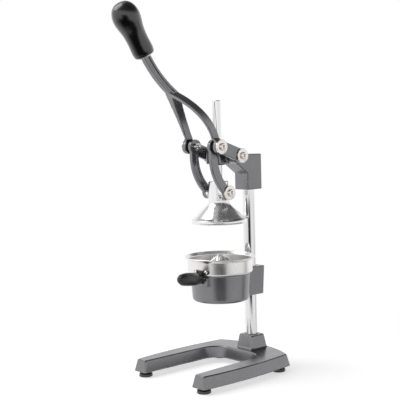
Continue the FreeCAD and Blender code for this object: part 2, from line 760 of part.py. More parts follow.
def pressing_bell():
    rim_top = BELL_BOTTOM + BELL_RIM
    inner_r = BELL_RIM_R - BELL_WALL
    shell = turned((0.0, BELL_ROOF), (BELL_ROOF_R - 3, BELL_ROOF),
                   ((BELL_ROOF_R - 0.4, BELL_ROOF - 0.8), (BELL_ROOF_R + 1.5, BELL_ROOF - 2.6)),
                   (inner_r, BELL_BOTTOM + BELL_RIM * 0.45), (inner_r, BELL_BOTTOM),
                   (BELL_RIM_R - 0.8, BELL_BOTTOM), (BELL_RIM_R, BELL_BOTTOM + 0.8),
                   (BELL_RIM_R, rim_top - 0.8), (BELL_RIM_R - 0.8, rim_top),
                   (BELL_RIM_R - BELL_STEP, rim_top), (NECK_FOOT_R, NECK_BOTTOM),
                   (NECK_TOP_R, NECK_TOP - 2.0),
                   ((NECK_TOP_R - 0.6, NECK_TOP - 0.6), (NECK_TOP_R - 2.0, NECK_TOP)),
                   (0.0, NECK_TOP))
    boss_end = LINK_HALF - SIDE_GAP
    boss = crosswise(CROSS_BOSS_R, -boss_end, boss_end, LINK_FOOT)
    bell = join(shell, boss)
    bell = bell.cut(upright(ROD_R + SEAT_GAP, ROD_SEAT, NECK_TOP + 1))
    for sign in (-1, 1):
        room = FOOT_PIN_R + FOOT_PIN_ROOM
        bell = bell.cut(crosswise(room, sign * (FOOT_PIN_END - 0.5), sign * (boss_end + 1), LINK_FOOT))
    bell = bell.cut(backwards(ROD_SCREW_R + SEAT_GAP, 0, NECK_FOOT_R + 1, 0, ROD_SEAT + ROD_SCREW_RISE))
    return join(bell, *[spun(bell_rib(), 360 * (index + 0.5) / BELL_RIBS) for index in range(BELL_RIBS)])


def bell_rib():
    """One rib down the inside of the cone, that bites the fruit's skin."""
    inner_r = BELL_RIM_R - BELL_WALL
    low = BELL_BOTTOM + BELL_RIM * 0.45
    plate = outline(front, (BELL_ROOF_R - 6, BELL_ROOF + 1), (BELL_ROOF_R + 2, BELL_ROOF - 1.5),
                    (inner_r + 0.5, low + 0.8), (inner_r - 1.0, low - 1.0),
                    (BELL_ROOF_R, BELL_ROOF - 2.0 - RIB_HEIGHT),
                    (BELL_ROOF_R - 6, BELL_ROOF - RIB_HEIGHT + 1))
    face = Part.Face(plate)
    face.translate(V(0, -RIB_THICK / 2, 0))
    return face.extrude(V(0, RIB_THICK, 0))


def plunger_rod():
    rod = upright(ROD_R, ROD_SEAT, ROD_TOP)
    return rod.makeChamfer(ROD_CHAMFER, [e for e in rod.Edges if isinstance(e.Curve, Part.Circle)])


def rod_lock_screw():
    end = NECK_FOOT_R - 1.0
    screw = backwards(ROD_SCREW_R, ROD_R + SEAT_GAP, end, 0, ROD_SEAT + ROD_SCREW_RISE)
    return screw.cut(backwards(ROD_SCREW_R * 0.5, end - 2.5, end + 1, 0, ROD_SEAT + ROD_SCREW_RISE))


# Cup holder

def cup_holder():
    mouth_top = HOLDER_BOTTOM + HOLDER_LIP
    soft = HOLDER_ROUND
    ring = turned((HOLDER_MOUTH_R, HOLDER_BOTTOM), (HOLDER_FOOT_R - soft, HOLDER_BOTTOM),
                  ((HOLDER_FOOT_R - soft * 0.3, HOLDER_BOTTOM + soft * 0.3),
                   (HOLDER_FOOT_R, HOLDER_BOTTOM + soft)),
                  (HOLDER_TOP_R, HOLDER_TOP - 0.8), (HOLDER_TOP_R - 0.8, HOLDER_TOP),
                  (HOLDER_MOUTH_R, HOLDER_TOP))
    rear = COLUMN_BACK
    arm = outline(side, (BRACKET_START, HOLDER_BOTTOM), (rear + BRACKET_BACK_FOOT, HOLDER_BOTTOM),
                  (rear + BRACKET_BACK_TOP, BRACKET_TOP), (BRACKET_START + 14, BRACKET_TOP),
                  (BRACKET_START + 10, HOLDER_TOP), (BRACKET_START, HOLDER_TOP))
    bracket = slab(arm, -BRACKET_HALF, BRACKET_HALF)
    bracket = rounded(bracket, HEAD_EDGE_R,
                      lambda e: on_flank(e, BRACKET_HALF) and e.BoundBox.YMax > rear)
    holder = join(ring, bracket, spun(stop_lug(), HANDLE_TURN + LUG_TURN))
    room = turned((0.0, mouth_top), (HOLDER_FOOT_R - HOLDER_WALL, mouth_top),
                  (HOLDER_TOP_R - HOLDER_WALL, HOLDER_TOP + 3), (0.0, HOLDER_TOP + 3))
    holder = holder.cut(room)
    holder = holder.cut(upright(COLUMN_R + SEAT_GAP, HOLDER_BOTTOM - 1, BRACKET_TOP + 1, 0, rear))
    return holder.cut(backwards(SET_SCREW_R + SEAT_GAP, rear, rear + 30, 0, HOLDER_SCREW_HEIGHT))


def stop_lug():
    """Small cast lug beside the handle, drawn along +X."""
    top = HOLDER_TOP - LUG_DROP
    half = LUG_WIDTH / 2
    lug = block(HOLDER_FOOT_R - 1.5, HOLDER_TOP_R + LUG_REACH, -half, half, top - LUG_HEIGHT, top)
    return rounded(lug, 1.4, lambda e: e.CenterOfMass.x > HOLDER_TOP_R + 1)


def holder_set_screw():
    slope = (BRACKET_BACK_TOP - BRACKET_BACK_FOOT) / (BRACKET_TOP - HOLDER_BOTTOM)
    rear = COLUMN_BACK + BRACKET_BACK_FOOT + slope * (HOLDER_SCREW_HEIGHT - SET_SCREW_R - HOLDER_BOTTOM)
    return set_screw(HOLDER_SCREW_HEIGHT, rear)


# Juice bowl, strainer and reamer

def bowl_solid(inset):
    """The bowl as a filled form; inset moves its wall inwards and its floor up."""
    seat = HOLDER_TOP + REST_GAP
    hip = BOWL_HIP - seat
    wall = BOWL_WALL_R - inset
    corner = (wall - hip * 0.3, seat + inset + hip * 0.3)
    top = BOWL_RIM + (1.0 if inset else 0.0)
    steps = [(SPOUT_R - inset, SPOUT_BOTTOM - (1.0 if inset else 0.0)), (SPOUT_R - inset, SPOUT_TOP),
             (BOWL_NECK_R - inset, BOWL_NECK_BOTTOM + inset * 0.4), (BOWL_NECK_R - inset, seat + inset),
             (wall - hip, seat + inset), (corner, (wall, BOWL_HIP + inset * 0.3)),
             (wall, BOWL_RIM - BOWL_FLARE),
             (BOWL_RIM_R - inset, BOWL_RIM - 1.0 + inset * 0.3), (BOWL_RIM_R - inset, top), (0.0, top)]
    return turned((0.0, steps[0][1]), *steps)


def juice_bowl():
    bowl = bowl_solid(0.0).cut(bowl_solid(BOWL_SHEET))
    for turn in (-STRAP_RIVET_TURN, STRAP_RIVET_TURN):
        bowl = bowl.cut(spun(rivet_bore(), HANDLE_TURN + turn))
    return bowl


def rivet_height():
    return BOWL_HIP + (STRAP_HIGH - STRAP_LOW) / 2 + RIVET_RISE


def rivet_bore():
    bore = Part.makeCylinder(RIVET_R + SEAT_GAP, 20, V(BOWL_WALL_R - 8, 0, rivet_height()), V(1, 0, 0))
    return bore


def strainer():
    """Perforated pan whose lip rests on the bowl's step."""
    lip = HOLDER_TOP + REST_GAP + BOWL_SHEET + REST_GAP
    wall = BOWL_NECK_R - BOWL_SHEET - STRAINER_DRAFT
    sheet = STRAINER_SHEET
    floor = STRAINER_FLOOR
    lip_r = BOWL_WALL_R - (BOWL_HIP - HOLDER_TOP) - BOWL_SHEET - 0.5
    pan = turned((STRAINER_HUB_R, floor), (wall - 3, floor), ((wall - 0.9, floor + 0.9), (wall, floor + 3)),
                 (wall, lip), (lip_r, lip), (lip_r, lip + sheet), (wall - sheet, lip + sheet),
                 (wall - sheet, floor + 3),
                 ((wall - sheet - 0.6, floor + sheet + 0.6), (wall - 3, floor + sheet)),
                 (STRAINER_HUB_R, floor + sheet))
    holes = []
    for ring in range(STRAINER_RINGS):
        radius = STRAINER_FIRST_RING_R + ring * STRAINER_RING_PITCH
        count = int(2 * math.pi * radius / STRAINER_HOLE_PITCH)
        for index in range(count):
            angle = 2 * math.pi * index / count
            holes.append(upright(STRAINER_HOLE_R, floor - 1, floor + sheet + 1,
                                 radius * math.cos(angle), radius * math.sin(angle)))
    return pan.cut(Part.makeCompound(holes))


def reamer_rib():
    """Tapered rib with a sharp crest that runs from the skirt to the tip."""
    foot = STRAINER_FLOOR + STRAINER_SHEET + REST_GAP + REAMER_SKIRT - 0.5
    height = REAMER_TOP - 3.0 - foot
    sections = []
    for share, reach, half in ((0.0, 1.0, 1.0), (0.4, 0.88, 0.8), (0.78, 0.52, 0.5), (1.0, 0.12, 0.2)):
        z = foot + height * share
        corners = [plan(0, -REAMER_RIB_HALF * half, z), plan(REAMER_RIB_R * reach, 0, z),
                   plan(0, REAMER_RIB_HALF * half, z)]
        sections.append(Part.makePolygon(corners + corners[:1]))
    return Part.makeLoft(sections, True, False)


def reamer():
    base = STRAINER_FLOOR + STRAINER_SHEET + REST_GAP
    skirt = base + REAMER_SKIRT
    core = turned((0.0, base - REAMER_PEG), (STRAINER_HUB_R - 1.2, base - REAMER_PEG),
                  (STRAINER_HUB_R - RUN_GAP, base - REAMER_PEG + 1.2), (STRAINER_HUB_R - RUN_GAP, base),
                  (REAMER_RIB_R + 1.0, base), (REAMER_RIB_R + 1.0, base + 1.6), (REAMER_RIB_R - 1.0, skirt),
                  (REAMER_CORE_R, skirt),
                  ((REAMER_CORE_R * 0.72, skirt + (REAMER_TOP - skirt) * 0.58), (DOME_FLAT_R, REAMER_TOP)),
                  (0.0, REAMER_TOP))
    ribs = [spun(reamer_rib(), 360 * index / REAMER_RIBS) for index in range(REAMER_RIBS)]
    return join(core, *ribs)


# Bowl handle, drawn along +X and turned round the plunger axis

def knob_height():
    return BOWL_HIP - KNOB_DROP


def tilt_out(shape):
    shape.rotate(V(BOWL_WALL_R + STRAP_THICK, 0, knob_height()), V(0, 1, 0), -KNOB_TILT)
    return shape


def handle_strap():
    low = BOWL_HIP - STRAP_LOW + 1.8
    high = BOWL_HIP + STRAP_HIGH
    inner = BOWL_WALL_R + SEAT_GAP
    outer = inner + STRAP_THICK
    band = upright(outer, low, high).cut(upright(inner, low - 1, high + 1))
    spread = math.radians(STRAP_SPREAD)
    far = outer * 2
    wedge = Part.makePolygon([plan(0, 0, low - 1), plan(far, -far * math.tan(spread), low - 1),
                              plan(far, far * math.tan(spread), low - 1), plan(0, 0, low - 1)])
    band = band.common(Part.Face(wedge).extrude(V(0, 0, high - low + 2)))
    tab = block(BOWL_WALL_R + 0.6, outer + 0.4, -TAB_WIDTH / 2, TAB_WIDTH / 2, low - TAB_DROP, low + 3)
    tab = tab.cut(upright(inner, low - TAB_DROP - 1, low + 4))
    strap = join(band, tab)
    strap = strap.cut(tilt_out(along_x(STEM_R + SEAT_GAP, 40, 80)))
    for turn in (-STRAP_RIVET_TURN, STRAP_RIVET_TURN):
        strap = strap.cut(spun(rivet_bore(), turn))
    return spun(strap, HANDLE_TURN)


def along_x(radius, x0, x1):
    return Part.makeCylinder(radius, x1 - x0, V(x0, 0, knob_height()), V(1, 0, 0))


def strap_rivets():
    inner = BOWL_WALL_R - BOWL_SHEET
    outer = BOWL_WALL_R + SEAT_GAP + STRAP_THICK
    rivets = []
    for turn in (-STRAP_RIVET_TURN, STRAP_RIVET_TURN):
        def bar(radius, x0, x1):
            return Part.makeCylinder(radius, x1 - x0, V(x0, 0, rivet_height()), V(1, 0, 0))
        rivet = join(bar(RIVET_R, inner - 0.4, outer + 0.4),
                     bar(RIVET_HEAD_R, outer + 0.1, outer + RIVET_HEAD),
                     bar(RIVET_HEAD_R, inner - RIVET_HEAD, inner - 0.15))
        rivets.append(spun(rivet, HANDLE_TURN + turn))
    return Part.makeCompound(rivets)


def knob_root():
    return BOWL_WALL_R + STRAP_THICK + 0.5


def screw_seat():
    return BOWL_WALL_R + SEAT_GAP - KNOB_SCREW_SINK


def handle_screw():
    """Screw from behind the tab into the knob."""
    seat = screw_seat()
    head = along_x(KNOB_SCREW_HEAD_R, seat - KNOB_SCREW_HEAD, seat)
    return spun(tilt_out(join(head, along_x(STEM_R, seat - 1, seat + STEM_LENGTH))), HANDLE_TURN)


def handle_knob():
    root = knob_root() + KNOB_START
    bore = STEM_R + SEAT_GAP
    end = root + KNOB_LENGTH
    depth = screw_seat() + STEM_LENGTH + 0.5 - root
    body = turned((bore, 0.0), (KNOB_END_R - 1.0, 0.0), (KNOB_END_R, 1.0),
                  ((KNOB_R - 0.9, KNOB_LENGTH * 0.24), (KNOB_R, KNOB_LENGTH * 0.5)),
                  ((KNOB_R - 0.4, KNOB_LENGTH * 0.72), (KNOB_R - 2.4, KNOB_LENGTH * 0.9)),
                  ((KNOB_R * 0.48, KNOB_LENGTH * 0.982), (DOME_FLAT_R, KNOB_LENGTH)), (0.0, KNOB_LENGTH),
                  (0.0, depth), (bore, depth))
    body.rotate(V(0, 0, 0), V(0, 1, 0), 90)
    body.translate(V(end - KNOB_LENGTH, 0, knob_height()))
    return spun(tilt_out(body), HANDLE_TURN)


PIECES = {
    "base_casting": base_casting,
    "rubber_feet": lambda: at_feet(rubber_foot()),
    "foot_screws": lambda: at_feet(foot_screw()),
    "column": column,
    "column_bolt": column_bolt,
    "head_casting": head_casting,
    "head_set_screws": head_set_screws,
    "rod_guide_bush": rod_guide_bush,
    "head_pivot_screws": head_pivot_screws,
    "head_pivot_washers": head_pivot_washers,
    "cup_holder": cup_holder,
    "holder_set_screw": holder_set_screw,
    "lever_casting": lever_casting,
    "grip_collar": grip_collar,
    "grip": grip,
    "crank_bolts": crank_bolts,
    "crank_washers": crank_washers,
    "crank_spacers": crank_spacers,
    "crank_nuts": crank_nuts,
    "right_link": link,
    "left_link": lambda: mirrored(link()),
    "link_foot_screws": link_foot_screws,
    "link_foot_washers": link_foot_washers,
    "pressing_bell": pressing_bell,
    "plunger_rod": plunger_rod,
    "rod_lock_screw": rod_lock_screw,
    "juice_bowl": juice_bowl,
    "strainer": strainer,
    "reamer": reamer,
    "handle_strap": handle_strap,
    "strap_rivets": strap_rivets,
    "handle_screw": handle_screw,
    "handle_knob": handle_knob,
}


def reach_along_y(shapes):
    """Front and rear ends of the whole press, measured on its facets."""
    points, _ = Part.makeCompound(list(shapes)).tessellate(FACET_ERROR)
    return min(point.y for point in points), max(point.y for point in points)


def main():
    os.makedirs("parts", exist_ok=True)
    shapes = {name: make() for name, make in PIECES.items()}
    nearest, farthest = reach_along_y(shapes.values())
    shift = -(nearest + farthest) / 2
    for name, shape in shapes.items():
        shape.translate(V(0, shift, 0))
        shape.exportStep(f"parts/{name}.step")
        print(name, len(shape.Solids), "valid" if shape.isValid() else "NOT VALID", round(shape.Volume, 1))
    print("shift along Y", round(shift, 4), "from", round(nearest, 3), "to", round(farthest, 3))


main()
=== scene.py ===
import math

import bmesh
import bpy
from bpy.props import BoolProperty, FloatProperty, FloatVectorProperty, IntProperty, PointerProperty
from mathutils import Matrix, Vector


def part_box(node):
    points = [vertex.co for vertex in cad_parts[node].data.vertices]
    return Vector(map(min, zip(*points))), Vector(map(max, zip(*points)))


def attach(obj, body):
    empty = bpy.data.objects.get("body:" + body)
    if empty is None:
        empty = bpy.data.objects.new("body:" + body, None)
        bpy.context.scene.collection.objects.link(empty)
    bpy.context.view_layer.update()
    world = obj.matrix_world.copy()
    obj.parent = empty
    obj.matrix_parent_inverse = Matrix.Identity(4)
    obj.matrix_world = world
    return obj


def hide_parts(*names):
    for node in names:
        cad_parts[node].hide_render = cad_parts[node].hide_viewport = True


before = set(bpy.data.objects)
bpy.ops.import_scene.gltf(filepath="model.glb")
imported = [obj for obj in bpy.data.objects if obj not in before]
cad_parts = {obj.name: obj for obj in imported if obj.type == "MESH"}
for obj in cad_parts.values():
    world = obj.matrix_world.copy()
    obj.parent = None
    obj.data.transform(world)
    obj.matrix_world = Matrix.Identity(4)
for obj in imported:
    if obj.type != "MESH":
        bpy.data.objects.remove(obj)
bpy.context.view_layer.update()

bl_info = {
    "name": "Lever Citrus Press",
    "version": (1, 0, 0),
    "blender": (4, 5, 0),
    "location": "View3D > Sidebar > Citrus Press",
    "description": "Dresses a packed lever citrus press and sets up its studio",
    "category": "Object",
}

MM = 0.001
UP = Vector((0, 0, 1))


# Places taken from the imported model

def centre_of(node):
    low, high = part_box(node)
    return (Vector(low) + Vector(high)) / 2


PLUNGER = centre_of("plunger_rod")
COLUMN = centre_of("column")


class CastingSettings(bpy.types.PropertyGroup):
    """Cast and enamelled pieces."""
    base_voxel: FloatProperty(
        name="Base Detail", description="Mesh size of the base casting's skin",
        default=0.00115, min=0.0008, unit="LENGTH")
    fine_voxel: FloatProperty(
        name="Fine Detail", description="Mesh size of the smaller castings' skins",
        default=0.0008, min=0.0005, unit="LENGTH")
    softness: IntProperty(
        name="Edge Softness", description="Smoothing passes that round the cast edges",
        default=5, min=0, max=20)
    color: FloatVectorProperty(
        name="Enamel", description="Colour of the grey enamel",
        subtype="COLOR", size=3, min=0, max=1, default=(0.285, 0.286, 0.300))
    roughness: FloatProperty(
        name="Enamel Roughness", description="Roughness of the enamel",
        default=0.24, min=0, max=1, subtype="FACTOR")
    metallic: FloatProperty(
        name="Metal Flake", description="Share of metal flake in the enamel",
        default=0.88, min=0, max=1, subtype="FACTOR")
    peel: FloatProperty(
        name="Orange Peel", description="Strength of the fine waviness of the enamel",
        default=0.12, min=0, max=1, subtype="FACTOR")


class MetalSettings(bpy.types.PropertyGroup):
    """Bright metal pieces."""
    segments: IntProperty(
        name="Round Segments", description="Segments of a turned piece",
        default=128, min=24, max=256)
    chrome: FloatVectorProperty(
        name="Chrome", description="Colour of the chrome column and rod",
        subtype="COLOR", size=3, min=0, max=1, default=(0.84, 0.84, 0.85))
    aluminium: FloatVectorProperty(
        name="Bell Metal", description="Colour of the polished bell and reamer",
        subtype="COLOR", size=3, min=0, max=1, default=(0.88, 0.88, 0.89))
    stainless: FloatVectorProperty(
        name="Stainless", description="Colour of the bowl and strainer",
        subtype="COLOR", size=3, min=0, max=1, default=(0.86, 0.845, 0.83))
    nickel: FloatVectorProperty(
        name="Nickel", description="Colour of the washers, bolts and screws",
        subtype="COLOR", size=3, min=0, max=1, default=(0.88, 0.84, 0.80))
    rim_bead: FloatProperty(
        name="Bowl Rim Bead", description="Radius of the bowl's rolled rim",
        default=0.0012, min=0.0005, unit="LENGTH")
    bowl_corner: FloatProperty(
        name="Bowl Corner", description="Rounding at the foot of the bowl's wall",
        default=0.0035, min=0.0015, unit="LENGTH")


class GripSettings(bpy.types.PropertyGroup):
    """Black grip, knob, strap and feet."""
    rubber: FloatVectorProperty(
        name="Rubber", description="Colour of the grip and feet",
        subtype="COLOR", size=3, min=0, max=1, default=(0.004, 0.004, 0.005))
    plastic: FloatVectorProperty(
        name="Knob", description="Colour of the knob",
        subtype="COLOR", size=3, min=0, max=1, default=(0.006, 0.006, 0.006))
    grip_roughness: FloatProperty(
        name="Grip Roughness", description="Roughness of the moulded grip",
        default=0.23, min=0, max=1, subtype="FACTOR")
    knob_sides: IntProperty(
        name="Knob Facets", description="Flats round the bowl's knob", default=8, min=3, max=16)
    facet_depth: FloatProperty(
        name="Facet Depth", description="How flat the knob's facets are", default=0.55, min=0, max=1,
        subtype="FACTOR")


class StudioSettings(bpy.types.PropertyGroup):
    """Camera, room and floor."""
    azimuth: FloatProperty(
        name="Azimuth", description="Direction of the camera round the press",
        default=math.radians(47.9), subtype="ANGLE")
    elevation: FloatProperty(
        name="Elevation", description="Height of the camera above the horizon",
        default=math.radians(4.7), subtype="ANGLE")
    roll: FloatProperty(
        name="Roll", description="Tilt of the camera about its view line",
        default=math.radians(-1.5), subtype="ANGLE")
    distance: FloatProperty(
        name="Distance", description="Camera distance", default=1.5182, unit="LENGTH")
    aim_side: FloatProperty(
        name="Aim Sideways", description="Sideways offset of the point aimed at",
        default=-0.0307, unit="LENGTH")
    aim_height: FloatProperty(
        name="Aim Height", description="Height of the point aimed at", default=0.2872, unit="LENGTH")
    lens: FloatProperty(
        name="Lens", description="Focal length in millimetres", default=83.0, min=20)
    floor_radius: FloatProperty(
        name="Floor Radius", description="Radius of the round floor, whose rim fades out",
        default=0.75, min=0.4, unit="LENGTH")
    dark_level: FloatProperty(
        name="Dark Behind Camera", description="Level of the dark strip that the metal mirrors",
        default=0.03, min=0, max=1, subtype="FACTOR")
    show_floor: BoolProperty(
        name="Floor", description="Lay the pale floor under the press", default=True)


# Profiles: lists of (radius, height) points in metres

def arc_between(start, middle, end, steps=14):
    """Points after start on the circle through three points."""
    a, b, c = Vector(start), Vector(middle), Vector(end)
    ab, cb = b - a, b - c
    cross = ab.x * cb.y - ab.y * cb.x
    if abs(cross) < 1e-12:
        return [tuple(b), tuple(c)]
    d = 2 * (a.x * (b.y - c.y) + b.x * (c.y - a.y) + c.x * (a.y - b.y))
    ux = (a.dot(a) * (b.y - c.y) + b.dot(b) * (c.y - a.y) + c.dot(c) * (a.y - b.y)) / d
    uy = (a.dot(a) * (c.x - b.x) + b.dot(b) * (a.x - c.x) + c.dot(c) * (b.x - a.x)) / d
    hub = Vector((ux, uy))
    radius = (a - hub).length
    first = math.atan2(a.y - hub.y, a.x - hub.x)
    mid = math.atan2(b.y - hub.y, b.x - hub.x)
    last = math.atan2(c.y - hub.y, c.x - hub.x)
    turn = (last - first) % math.tau
    if (mid - first) % math.tau > turn:
        turn -= math.tau
    return [(hub.x + radius * math.cos(first + turn * i / steps),
             hub.y + radius * math.sin(first + turn * i / steps)) for i in range(1, steps + 1)]


def softened(corners, steps=5):
    """Profile points in metres from (radius, height, rounding) corners in millimetres."""
    points = []
    count = len(corners)
    for index, (x, y, rounding) in enumerate(corners):
        here = Vector((x, y))
        if rounding <= 0 or index in (0, count - 1):
            points.append((x, y))
            continue
        before = Vector(corners[index - 1][:2]) - here
        after = Vector(corners[index + 1][:2]) - here
        half = before.angle(after) / 2
        reach = min(rounding / math.tan(half), before.length * 0.48, after.length * 0.48)
        one = here + before.normalized() * reach
        two = here + after.normalized() * reach
        bulge = here + (before.normalized() + after.normalized()).normalized() * (
            reach / math.cos(half) - reach * math.tan(half))
        points.append(tuple(one))
        points += arc_between(tuple(one), tuple(bulge), tuple(two), steps)
    return [(x * MM, y * MM) for x, y in points]


# Meshes

def lathed(profile, segments, closed=True):
    """A bmesh spun about Z from a profile. A closed profile joins its last point to its first."""
    bm = bmesh.new()
    verts = [bm.verts.new((radius, 0, height)) for radius, height in profile]
    edges = [bm.edges.new(pair) for pair in zip(verts, verts[1:])]
    if closed and (profile[0][0] > 1e-7 or profile[-1][0] > 1e-7):
        edges.append(bm.edges.new((verts[-1], verts[0])))
    bmesh.ops.spin(bm, geom=verts + edges, cent=(0, 0, 0), axis=(0, 0, 1), angle=math.tau,
                   steps=segments, use_merge=True)
    bmesh.ops.remove_doubles(bm, verts=bm.verts, dist=1e-6)
    bmesh.ops.recalc_face_normals(bm, faces=bm.faces)
    return bm


def placed(bm, place, axis=UP):
    """Turns a piece made about Z onto an axis through place."""
    turn = UP.rotation_difference(axis.normalized()).to_matrix().to_4x4()
    bmesh.ops.transform(bm, matrix=Matrix.Translation(place) @ turn, verts=bm.verts)
    return bm


def merged_copy(node):
    """The CAD node's surface with its loose triangles joined."""
    bm = bmesh.new()
    bm.from_mesh(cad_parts[node].data)
    bmesh.ops.remove_doubles(bm, verts=bm.verts, dist=1e-6)
    return bm


def finished(name, bm, body, material, source, sharp=math.radians(32)):
    """Makes the object of a piece, shades it, gives it its material, parents it to its body's empty and
    hides the CAD node it stands in for.
    """
    mesh = bpy.data.meshes.new(name)
    bm.to_mesh(mesh)
    bm.free()
    mesh.shade_smooth()
    mesh.set_sharp_from_angle(angle=sharp)
    piece = bpy.data.objects.new(name, mesh)
    bpy.context.scene.collection.objects.link(piece)
    mesh.materials.append(material)
    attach(piece, body)
    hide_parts(source)
    return piece


def cast_skin(piece, voxel, passes):
    """Rounds the edges of a casting as sand casting and enamel do."""
    remesh = piece.modifiers.new("cast_surface", "REMESH")
    remesh.mode = "VOXEL"
    remesh.voxel_size = voxel
    remesh.use_smooth_shade = True
    smooth = piece.modifiers.new("soft_edges", "SMOOTH")
    smooth.factor = 0.5
    smooth.iterations = passes


# Shared effects

def make_group(name, inputs, outputs):
    """An empty node group with float inputs {name: default} and outputs {name: socket type}."""
    group = bpy.data.node_groups.new(name, "ShaderNodeTree")
    for label, default in inputs.items():
        socket = group.interface.new_socket(label, in_out="INPUT", socket_type="NodeSocketFloat")
        socket.default_value = default
    for label, kind in outputs.items():
        group.interface.new_socket(label, in_out="OUTPUT", socket_type=kind)
    return group, group.nodes.new("NodeGroupInput"), group.nodes.new("NodeGroupOutput")


def wire(tree, source, out, target, into):
    tree.links.new(source.outputs[out], target.inputs[into])


def node(tree, kind, **values):
    """A node with its attributes set."""
    made = tree.nodes.new(kind)
    for label, value in values.items():
        setattr(made, label, value)
    return made


def skin_group():
    """Fine waviness and patchy gloss of sprayed enamel or moulded plastic, on object coordinates."""
    group, entry, leave = make_group(
        "surface_skin",
        {"Scale": 900.0, "Strength": 0.1, "Patch Scale": 25.0, "Low": 0.3, "High": 0.45, "Speckle": 0.0},
        {"Roughness": "NodeSocketFloat", "Tone": "NodeSocketFloat", "Normal": "NodeSocketVector"})
    coords = node(group, "ShaderNodeTexCoord")
    fine = node(group, "ShaderNodeTexNoise")
    fine.inputs["Detail"].default_value = 3.0
    patches = node(group, "ShaderNodeTexNoise")
    patches.inputs["Detail"].default_value = 4.0
    bump = node(group, "ShaderNodeBump")
    bump.inputs["Distance"].default_value = 0.0002
    spread = node(group, "ShaderNodeMapRange")
    spread.inputs["From Min"].default_value = 0.3
    spread.inputs["From Max"].default_value = 0.7
    for texture in (fine, patches):
        wire(group, coords, "Object", texture, "Vector")
    wire(group, entry, "Scale", fine, "Scale")
    wire(group, entry, "Patch Scale", patches, "Scale")
    wire(group, fine, "Fac", bump, "Height")
    wire(group, entry, "Strength", bump, "Strength")
    wire(group, patches, "Fac", spread, "Value")
    wire(group, entry, "Low", spread, "To Min")
    wire(group, entry, "High", spread, "To Max")
    wire(group, spread, "Result", leave, "Roughness")
    grain = node(group, "ShaderNodeMapRange")
    grain.inputs["From Min"].default_value = 0.38
    grain.inputs["From Max"].default_value = 0.62
    wire(group, fine, "Fac", grain, "Value")
    both = node(group, "ShaderNodeMix", data_type="FLOAT")
    wire(group, entry, "Speckle", both, "Factor")
    wire(group, patches, "Fac", both, "A")
    wire(group, grain, "Result", both, "B")
    wire(group, both, "Result", leave, "Tone")
    wire(group, bump, "Normal", leave, "Normal")
    return group


def turning_group():
    """Fine rings that a lathe or spinning tool leaves round an upright axis."""
    group, entry, leave = make_group(
        "turning_rings",
        {"Centre Y": 0.0, "Rings": 2500.0, "Strength": 0.1, "Low": 0.1, "High": 0.2},
        {"Roughness": "NodeSocketFloat", "Normal": "NodeSocketVector"})
    coords = node(group, "ShaderNodeTexCoord")
    split = node(group, "ShaderNodeSeparateXYZ")
    wire(group, coords, "Object", split, "Vector")
    off = node(group, "ShaderNodeMath", operation="SUBTRACT")
    wire(group, split, "Y", off, 0)
    wire(group, entry, "Centre Y", off, 1)
    flat = node(group, "ShaderNodeCombineXYZ")
    wire(group, split, "X", flat, "X")
    wire(group, off, "Value", flat, "Y")
    radius = node(group, "ShaderNodeVectorMath", operation="LENGTH")
    wire(group, flat, "Vector", radius, 0)
    ring = node(group, "ShaderNodeCombineXYZ")
    wire(group, radius, "Value", ring, "X")
    wire(group, split, "Z", ring, "Y")
    lines = node(group, "ShaderNodeTexNoise")
    lines.inputs["Detail"].default_value = 2.0
    wire(group, ring, "Vector", lines, "Vector")
    wire(group, entry, "Rings", lines, "Scale")
    bump = node(group, "ShaderNodeBump")
    bump.inputs["Distance"].default_value = 0.00005
    wire(group, lines, "Fac", bump, "Height")
    wire(group, entry, "Strength", bump, "Strength")
    smudge = node(group, "ShaderNodeTexNoise")
    smudge.inputs["Scale"].default_value = 45.0
    smudge.inputs["Detail"].default_value = 5.0
    wire(group, coords, "Object", smudge, "Vector")
    spread = node(group, "ShaderNodeMapRange")
    spread.inputs["From Min"].default_value = 0.35
    spread.inputs["From Max"].default_value = 0.7
    wire(group, smudge, "Fac", spread, "Value")
    wire(group, entry, "Low", spread, "To Min")
    wire(group, entry, "High", spread, "To Max")
    wire(group, spread, "Result", leave, "Roughness")
    wire(group, bump, "Normal", leave, "Normal")
    return group


def shared_group(name, make):
    return bpy.data.node_groups.get(name) or make()


def blank_material(name, color, metallic=0.0):
    material = bpy.data.materials.new(name)
    material.use_nodes = True
    shader = material.node_tree.nodes["Principled BSDF"]
    shader.inputs["Base Color"].default_value = (*color, 1)
    shader.inputs["Metallic"].default_value = metallic
    material.diffuse_color = (*color, 1)
    return material, material.node_tree, shader


def skinned_material(name, color, low, high, strength, scale, patch, shade=0.85, coat=0.0, metallic=0.0,
                     speckle=0.0, shine=0.5):
    """A coated or moulded surface: patchy gloss, faint waviness, speckle and a slight change of tone."""
    material, tree, shader = blank_material(name, color, metallic)
    skin = node(tree, "ShaderNodeGroup", node_tree=shared_group("surface_skin", skin_group))
    for label, value in (("Scale", scale), ("Strength", strength), ("Patch Scale", patch),
                         ("Low", low), ("High", high), ("Speckle", speckle)):
        skin.inputs[label].default_value = value
    tone = node(tree, "ShaderNodeMix", data_type="RGBA")
    tone.inputs["A"].default_value = (*color, 1)
    tone.inputs["B"].default_value = (*[part * shade for part in color], 1)
    tree.links.new(skin.outputs["Tone"], tone.inputs["Factor"])
    tree.links.new(tone.outputs["Result"], shader.inputs["Base Color"])
    wire(tree, skin, "Roughness", shader, "Roughness")
    wire(tree, skin, "Normal", shader, "Normal")
    shader.inputs["Specular IOR Level"].default_value = shine
    shader.inputs["Coat Weight"].default_value = coat
    shader.inputs["Coat Roughness"].default_value = 0.15
    return material


